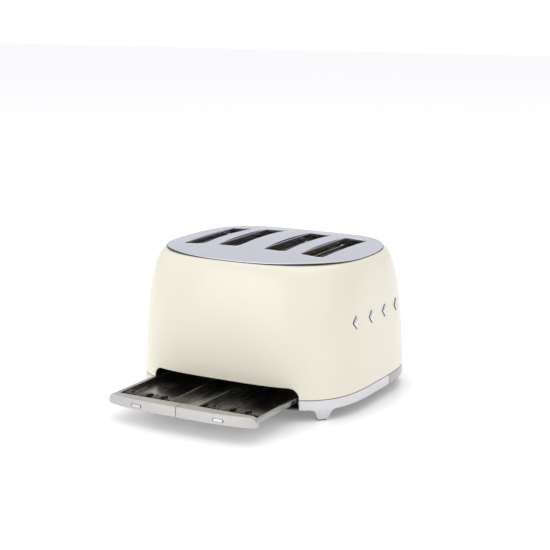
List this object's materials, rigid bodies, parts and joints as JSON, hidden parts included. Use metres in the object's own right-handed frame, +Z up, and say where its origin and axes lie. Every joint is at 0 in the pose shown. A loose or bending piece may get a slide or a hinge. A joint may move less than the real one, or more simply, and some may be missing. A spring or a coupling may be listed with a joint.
{
  "type": "toaster",
  "caption": "Rounded pop up toaster with side by side bread slots under a domed steel top, lever carriages, browning knobs and crumb trays drawn out of one end.",
  "frame": {"origin": "on the table, under the middle of the whole object with its crumb trays drawn out", "axes": "+Z up, +Y towards the control end, +X towards the badge side; the trays draw out to -Y"},
  "size_m": [0.3228, 0.4248, 0.2081],
  "materials": {
    "cream_enamel": "gloss enamel",
    "brushed_top": "brushed",
    "chrome": "polished",
    "black_plastic": "moulded",
    "rubber": "matt",
    "tray_steel": "brushed",
    "galvanised": "rolled sheet",
    "spring_wire": "drawn wire",
    "mica": "pressed sheet",
    "ribbon": "oxidised",
    "circuit_board": "printed board",
    "lit_ring": "translucent",
    "button_chrome": "satin"
  },
  "bodies": {
    "housing": {"badge_ornaments": "chrome", "base_band_control": "chrome", "base_band_left": "chrome", "base_band_right": "chrome", "base_plate": "black_plastic", "base_screws": "galvanised", "body_shell": "cream_enamel", "chassis_plate_control": "galvanised", "chassis_plate_tray": "galvanised", "control_bezels": "chrome", "control_boards": "circuit_board", "cord_gland": "black_plastic", "foot_pads": "rubber", "guide_rods": "galvanised", "heater_boards_left": "mica", "heater_boards_right": "mica", "heater_ribbons_left": "ribbon", "heater_ribbons_right": "ribbon", "knob_rings": "lit_ring", "magnet_coils": "black_plastic", "magnet_cores": "spring_wire", "reflectors": "galvanised", "return_spring_left": "spring_wire", "return_spring_right": "spring_wire", "terminal_block": "black_plastic", "tie_rods": "galvanised", "top_plate": "brushed_top", "tray_bay_liner": "black_plastic", "tray_runners": "galvanised"},
    "carriage_left": {"bread_rack_left": "galvanised", "slider_left": "black_plastic", "lever_knob_left": "chrome"},
    "carriage_right": {"bread_rack_right": "galvanised", "slider_right": "black_plastic", "lever_knob_right": "chrome"},
    "guide_1": {"guide_cage_1": "spring_wire"},
    "guide_2": {"guide_cage_2": "spring_wire"},
    "guide_3": {"guide_cage_3": "spring_wire"},
    "guide_4": {"guide_cage_4": "spring_wire"},
    "guide_5": {"guide_cage_5": "spring_wire"},
    "guide_6": {"guide_cage_6": "spring_wire"},
    "guide_7": {"guide_cage_7": "spring_wire"},
    "guide_8": {"guide_cage_8": "spring_wire"},
    "tray_left": {"tray_pan_left": "tray_steel", "tray_front_left": "chrome", "tray_combs_left": "black_plastic"},
    "tray_right": {"tray_pan_right": "tray_steel", "tray_front_right": "chrome", "tray_combs_right": "black_plastic"},
    "knob_left": {"browning_knob_left": "chrome"},
    "stop_left": {"stop_button_left": "button_chrome"},
    "function_left_1": {"button_left_1": "button_chrome"},
    "function_left_2": {"button_left_2": "button_chrome"},
    "function_left_3": {"button_left_3": "button_chrome"},
    "knob_right": {"browning_knob_right": "chrome"},
    "stop_right": {"stop_button_right": "button_chrome"},
    "function_right_1": {"button_right_1": "button_chrome"},
    "function_right_2": {"button_right_2": "button_chrome"},
    "function_right_3": {"button_right_3": "button_chrome"}
  },
  "joints": [
    {"name": "lever_left", "type": "slide", "parent": "housing", "child": "carriage_left", "axis": [0, 0, 1], "range_m": [-0.0697, 0], "stiffness_N_per_m": 60, "springref_m": 0.075, "deforming": ["return_spring_left"]},
    {"name": "lever_right", "type": "slide", "parent": "housing", "child": "carriage_right", "axis": [0, 0, 1], "range_m": [-0.0697, 0], "stiffness_N_per_m": 60, "springref_m": 0.075, "deforming": ["return_spring_right"]},
    {"name": "guide_swing_1", "type": "hinge", "parent": "housing", "child": "guide_1", "pos_m": [-0.1045, 0.0374, 0.055], "axis": [0, 1, 0], "range_deg": [0, 1.72]},
    {"name": "guide_swing_2", "type": "hinge", "parent": "housing", "child": "guide_2", "pos_m": [-0.0775, 0.0374, 0.055], "axis": [0, 1, 0], "range_deg": [-1.72, 0]},
    {"name": "guide_swing_3", "type": "hinge", "parent": "housing", "child": "guide_3", "pos_m": [-0.049, 0.0374, 0.055], "axis": [0, 1, 0], "range_deg": [0, 1.72]},
    {"name": "guide_swing_4", "type": "hinge", "parent": "housing", "child": "guide_4", "pos_m": [-0.022, 0.0374, 0.055], "axis": [0, 1, 0], "range_deg": [-1.72, 0]},
    {"name": "guide_swing_5", "type": "hinge", "parent": "housing", "child": "guide_5", "pos_m": [0.022, 0.0374, 0.055], "axis": [0, 1, 0], "range_deg": [0, 1.72]},
    {"name": "guide_swing_6", "type": "hinge", "parent": "housing", "child": "guide_6", "pos_m": [0.049, 0.0374, 0.055], "axis": [0, 1, 0], "range_deg": [-1.72, 0]},
    {"name": "guide_swing_7", "type": "hinge", "parent": "housing", "child": "guide_7", "pos_m": [0.0775, 0.0374, 0.055], "axis": [0, 1, 0], "range_deg": [0, 1.72]},
    {"name": "guide_swing_8", "type": "hinge", "parent": "housing", "child": "guide_8", "pos_m": [0.1045, 0.0374, 0.055], "axis": [0, 1, 0], "range_deg": [-1.72, 0]},
    {"name": "tray_slide_left", "type": "slide", "parent": "housing", "child": "tray_left", "axis": [0, -1, 0], "range_m": [-0.104, 0.13]},
    {"name": "tray_slide_right", "type": "slide", "parent": "housing", "child": "tray_right", "axis": [0, -1, 0], "range_m": [-0.104, 0.13]},
    {"name": "browning_left", "type": "hinge", "parent": "housing", "child": "knob_left", "pos_m": [-0.06325, 0.184, 0.056], "axis": [0, 1, 0], "range_deg": [-135, 135]},
    {"name": "stop_press_left", "type": "slide", "parent": "knob_left", "child": "stop_left", "axis": [0, -1, 0], "range_m": [0, 0.0015], "stiffness_N_per_m": 400, "springref_m": -0.001},
    {"name": "press_left_1", "type": "slide", "parent": "housing", "child": "function_left_1", "axis": [0, -1, 0], "range_m": [0, 0.0015], "stiffness_N_per_m": 400, "springref_m": -0.001},
    {"name": "press_left_2", "type": "slide", "parent": "housing", "child": "function_left_2", "axis": [0, -1, 0], "range_m": [0, 0.0015], "stiffness_N_per_m": 400, "springref_m": -0.001},
    {"name": "press_left_3", "type": "slide", "parent": "housing", "child": "function_left_3", "axis": [0, -1, 0], "range_m": [0, 0.0015], "stiffness_N_per_m": 400, "springref_m": -0.001},
    {"name": "browning_right", "type": "hinge", "parent": "housing", "child": "knob_right", "pos_m": [0.06325, 0.184, 0.056], "axis": [0, 1, 0], "range_deg": [-135, 135]},
    {"name": "stop_press_right", "type": "slide", "parent": "knob_right", "child": "stop_right", "axis": [0, -1, 0], "range_m": [0, 0.0015], "stiffness_N_per_m": 400, "springref_m": -0.001},
    {"name": "press_right_1", "type": "slide", "parent": "housing", "child": "function_right_1", "axis": [0, -1, 0], "range_m": [0, 0.0015], "stiffness_N_per_m": 400, "springref_m": -0.001},
    {"name": "press_right_2", "type": "slide", "parent": "housing", "child": "function_right_2", "axis": [0, -1, 0], "range_m": [0, 0.0015], "stiffness_N_per_m": 400, "springref_m": -0.001},
    {"name": "press_right_3", "type": "slide", "parent": "housing", "child": "function_right_3", "axis": [0, -1, 0], "range_m": [0, 0.0015], "stiffness_N_per_m": 400, "springref_m": -0.001}
  ],
  "couplings": [
    {"joint": "guide_swing_1", "follows": "lever_left", "rad_per_m": -0.4232},
    {"joint": "guide_swing_2", "follows": "lever_left", "rad_per_m": 0.4232},
    {"joint": "guide_swing_3", "follows": "lever_left", "rad_per_m": -0.4232},
    {"joint": "guide_swing_4", "follows": "lever_left", "rad_per_m": 0.4232},
    {"joint": "guide_swing_5", "follows": "lever_right", "rad_per_m": -0.4232},
    {"joint": "guide_swing_6", "follows": "lever_right", "rad_per_m": 0.4232},
    {"joint": "guide_swing_7", "follows": "lever_right", "rad_per_m": -0.4232},
    {"joint": "guide_swing_8", "follows": "lever_right", "rad_per_m": 0.4232}
  ]
}
